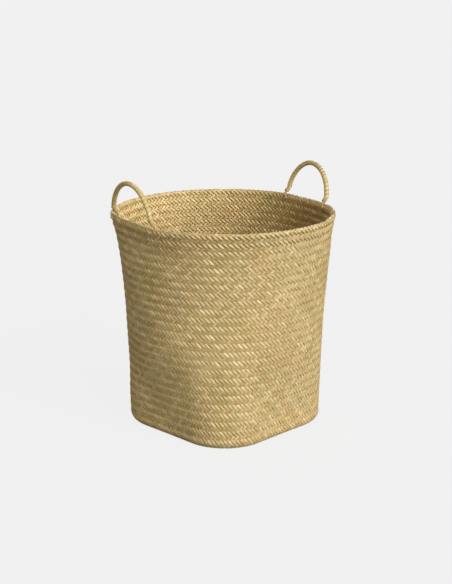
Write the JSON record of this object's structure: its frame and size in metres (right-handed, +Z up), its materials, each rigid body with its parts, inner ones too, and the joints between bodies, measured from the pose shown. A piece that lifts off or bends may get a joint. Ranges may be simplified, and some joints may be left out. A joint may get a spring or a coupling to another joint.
{
  "type": "woven storage basket",
  "caption": "Tall round woven seagrass basket on a rounded square base, with two swinging cord handles, for storing or carrying household things.",
  "frame": {"origin": "centre of the underside, on the surface the basket stands on", "axes": "+Z up; the two handles stand on the +X and -X sides of the mouth"},
  "size_m": [0.3985, 0.4006, 0.4622],
  "materials": {
    "outer_weave": "dry flat seagrass strips, 2/2 twill on the bias, soft sheen",
    "inner_weave": "dry flat seagrass strips, 2/2 twill on the bias, soft sheen",
    "rim_fold": "strips folded over the mouth",
    "handle_cord": "twisted seagrass strands",
    "handle_wrap": "flat strip wound tightly round the cord",
    "handle_lashing": "strand wound tightly round the cord"
  },
  "bodies": {
    "basket": {"outer_weave": "outer_weave", "inner_weave": "inner_weave", "rim_fold": "rim_fold"},
    "handle_right": {"handle_right_cord": "handle_cord", "handle_right_wrap": "handle_wrap", "handle_right_lashing_front": "handle_lashing", "handle_right_lashing_back": "handle_lashing"},
    "handle_left": {"handle_left_cord": "handle_cord", "handle_left_wrap": "handle_wrap", "handle_left_lashing_front": "handle_lashing", "handle_left_lashing_back": "handle_lashing"}
  },
  "joints": [
    {"name": "handle_right_swing", "type": "hinge", "parent": "basket", "child": "handle_right", "pos_m": [0.18286, 0, 0.38827], "axis": [0, 1, 0], "range_deg": [-70, 80]},
    {"name": "handle_left_swing", "type": "hinge", "parent": "basket", "child": "handle_left", "pos_m": [-0.18672, 0.00652, 0.39066], "axis": [-0.0349, -0.9994, 0], "range_deg": [-70, 80]}
  ]
}
